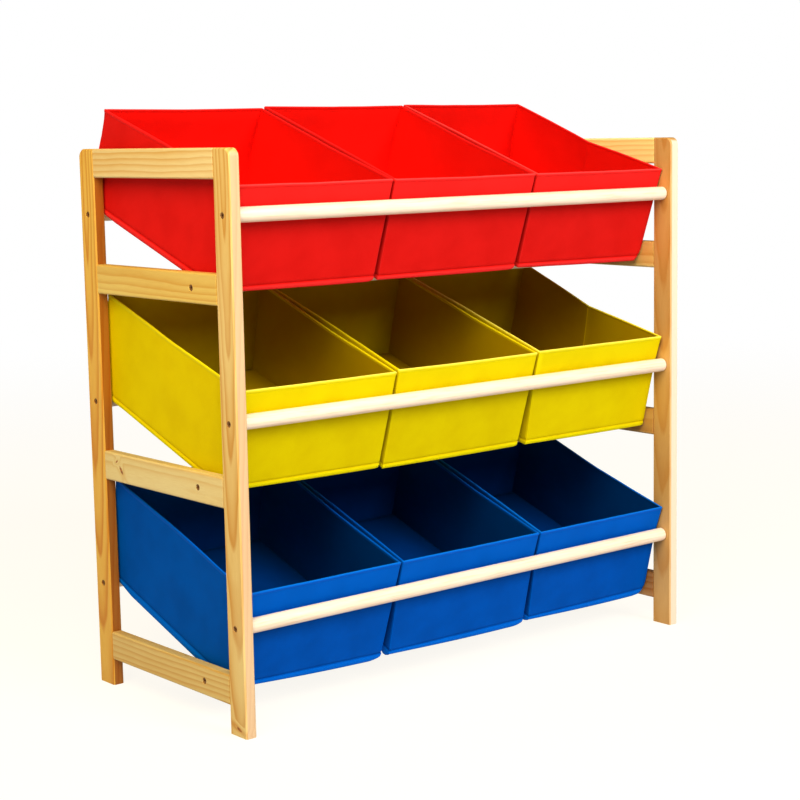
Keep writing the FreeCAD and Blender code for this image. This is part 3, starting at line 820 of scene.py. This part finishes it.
# each cloth's base, pale, dark and inside colours: the pale one gives fibre mottle and stitches and also
# painted highlights, the inside one painted shade inside the bin (brighter painted light for red)
CLOTH = {
    "red": (srgb(214, 25, 18), srgb(238, 58, 58), srgb(184, 12, 6), srgb(232, 20, 6)),
    "yellow": (srgb(217, 197, 1), srgb(230, 220, 14), srgb(196, 168, 0), srgb(140, 108, 0)),
    "blue": (srgb(0, 83, 174), srgb(0, 118, 228), srgb(0, 60, 134), srgb(0, 34, 88)),
}
HEM = {
    "red": (srgb(226, 36, 34), srgb(238, 84, 84), srgb(184, 10, 10), srgb(208, 14, 4)),
    "yellow": (srgb(228, 216, 10), srgb(240, 234, 110), srgb(206, 184, 16), srgb(140, 108, 0)),
    "blue": (srgb(0, 96, 200), srgb(10, 120, 222), srgb(0, 68, 152), srgb(0, 34, 88)),
}
# (depth of the fold, sag of the rim) in mm for the front, right, rear and left wall
FOLDS = {
    "red_left_bin": ((0.6, 0.8), (2.0, 0.5), (0.5, 0.3), (1.5, 0.4)),
    "red_centre_bin": ((0.6, 1.0), (2.5, 0.6), (0.5, 0.3), (1.5, 0.4)),
    "red_right_bin": ((0.4, 0.3), (10.0, 3.4), (0.5, 0.3), (2.0, 0.4)),
    "yellow_left_bin": ((0.6, 0.8), (2.5, 0.5), (0.5, 0.3), (1.5, 2.6)),
    "yellow_centre_bin": ((0.6, 1.0), (3.0, 0.6), (0.5, 0.3), (2.0, 0.4)),
    "yellow_right_bin": ((0.5, 0.5), (14.0, 3.0), (0.5, 0.3), (2.0, 0.4)),
    "blue_left_bin": ((0.6, 0.8), (2.0, 0.5), (0.5, 0.3), (1.5, 0.4)),
    "blue_centre_bin": ((0.6, 1.0), (2.0, 0.6), (0.5, 0.3), (1.5, 0.4)),
    "blue_right_bin": ((0.5, 0.8), (3.0, 1.0), (0.5, 0.3), (1.5, 0.4)),
}
# in mm, 0 where not given:
# rise, fall: how much the rim rises in front and falls at the rear
# left_droop, right_droop, side_droop: how low the front seam hangs at its two ends, and the side seams
# shallow, swell, turn_up: how much less deep the lip is at the left, how much deeper at the right, and the
#     length of the round corner it ends in
# flare: how far the left wall leans out at its upper rear end
# lean, belly: how far the rear wall leans back and bellies out
# fore: how far the front wall stands forward at the base
# corner: how much rounder the front right edge is at the seam
# rim_left, rim_right, base_left, base_right: how far the front corners are shifted to the right
# tuck: how far the right wall is drawn in high at the rear
# strip: how wide the lighter fold along the upper part of the front's left edge is
# hang: how low the left seam hangs just behind the front corner
# slack: how far the walls are from flat
# dull: 1 where the hems of the two sides take no painted highlight but a little painted shade
GIVE_NAMES = ("rise", "fall", "left_droop", "right_droop", "side_droop", "shallow", "swell", "turn_up",
              "flare", "lean", "belly", "fore", "corner", "rim_left", "rim_right", "base_left",
              "base_right", "tuck", "strip", "hang", "slack", "dull")
GIVE = {
    "red_left_bin": dict(rise=0.4, fall=3.0, left_droop=1.0, right_droop=1.0, side_droop=1.0, shallow=1.0,
                         swell=0.8, turn_up=9.0, flare=3.0, belly=5.5, rim_right=-1.5, base_right=-0.8,
                         slack=0.9, dull=1.0),
    "red_centre_bin": dict(rise=0.2, fall=1.0, left_droop=1.5, right_droop=0.5, side_droop=1.0, shallow=1.0,
                           swell=0.8, turn_up=9.0, belly=2.0, rim_left=-1.5, rim_right=-1.5, base_left=2.0,
                           base_right=-0.8, slack=0.9, dull=1.0),
    "red_right_bin": dict(rise=0.2, left_droop=0.5, right_droop=2.5, side_droop=1.0, shallow=1.0, swell=0.8,
                          turn_up=9.0, belly=2.0, corner=9.0, rim_left=-1.5, base_left=2.5,
                          tuck=14.0, slack=0.9),
    "yellow_left_bin": dict(rise=1.4, fall=1.5, left_droop=-1.0, side_droop=-0.8, shallow=1.0, swell=0.4,
                            turn_up=5.0, flare=0.2, lean=14.0, rim_right=-2.5, base_right=0.8,
                            slack=0.9, dull=1.0),
    "yellow_centre_bin": dict(rise=3.4, fall=1.0, left_droop=3.0, right_droop=1.5, shallow=0.8, swell=0.4,
                              turn_up=5.0, lean=9.0, rim_left=-2.5, rim_right=-2.5, base_left=3.5,
                              base_right=1.2, slack=0.9, dull=1.0),
    "yellow_right_bin": dict(rise=4.8, fall=1.0, left_droop=-1.5, right_droop=-2.0, shallow=0.5, swell=0.4,
                             turn_up=5.0, lean=6.0, rim_left=-2.5, rim_right=-2.5, base_left=5.0, fore=6.0,
                             strip=9.0, slack=0.9),
    "blue_left_bin": dict(rise=-0.8, left_droop=2.0, right_droop=8.5, side_droop=3.0, shallow=1.5,
                          swell=2.6, turn_up=20.0, flare=2.0, lean=14.0, rim_right=-2.0, base_right=-1.0,
                          slack=1.6, dull=1.0),
    "blue_centre_bin": dict(rise=-0.4, fall=1.5, left_droop=4.0, right_droop=4.5, side_droop=3.0,
                            shallow=1.5, swell=2.6, turn_up=16.0, lean=9.0, rim_left=-2.0, rim_right=-2.0,
                            base_left=1.5, base_right=1.5, fore=6.0, hang=6.0, slack=1.6, dull=1.0),
    "blue_right_bin": dict(rise=-0.4, fall=1.5, left_droop=3.0, right_droop=2.5, side_droop=3.0,
                           shallow=1.5, swell=2.6, turn_up=26.0, lean=6.0, corner=9.0, rim_left=-2.0,
                           base_left=5.0, fore=7.5, hang=5.0, slack=1.8),
}
for colour in ("red", "yellow", "blue"):
    cloth = fabric(colour + "_cloth", *CLOTH[colour])
    edge = binding(colour + "_binding", *HEM[colour])
    for column, place in enumerate(("left", "centre", "right")):
        body = "%s_%s_bin" % (colour, place)
        shape = Bin(body, FOLDS[body], GIVE[body], 13.0 * column + len(colour) * 7.0)
        make_shell(shape, cloth)
        make_hem(shape, edge)
        make_board(shape, cloth)


# ---------------------------------------------------------------- floor

def make_floor():
    """White floor round the rack, which fades into the white world."""
    f = Finish("floor_finish")
    x, y, _ = f.parts(f.place())
    away = f.remap(f.length(x, y), 0.4, 3.6)
    colour = f.mix(away, srgb(110, 108, 104), srgb(0, 0, 0))
    glow = f.mix(away, srgb(247, 244, 237), srgb(255, 255, 255))
    f.feed(f.shader.inputs["Emission Color"], glow)
    # the floor looks white, but throws less light up at the rack
    seen = f.add("LightPath", "Is Camera Ray")
    f.feed(f.shader.inputs["Emission Strength"], f.remap(seen, 0, 1, 0.65, 1.0))
    mesh = bpy.data.meshes.new("floor")
    reach = 9.0
    corners = [(-reach, -reach, 0), (reach, -reach, 0), (reach, reach, 0), (-reach, reach, 0)]
    mesh.from_pydata(corners, [], [(0, 1, 2, 3)])
    mesh.materials.append(f.finish(colour, 0.9, Specular_IOR_Level=0.0))
    floor = bpy.data.objects.new("floor", mesh)
    floor.location.z = -0.2 * MM
    scene.collection.objects.link(floor)


make_floor()
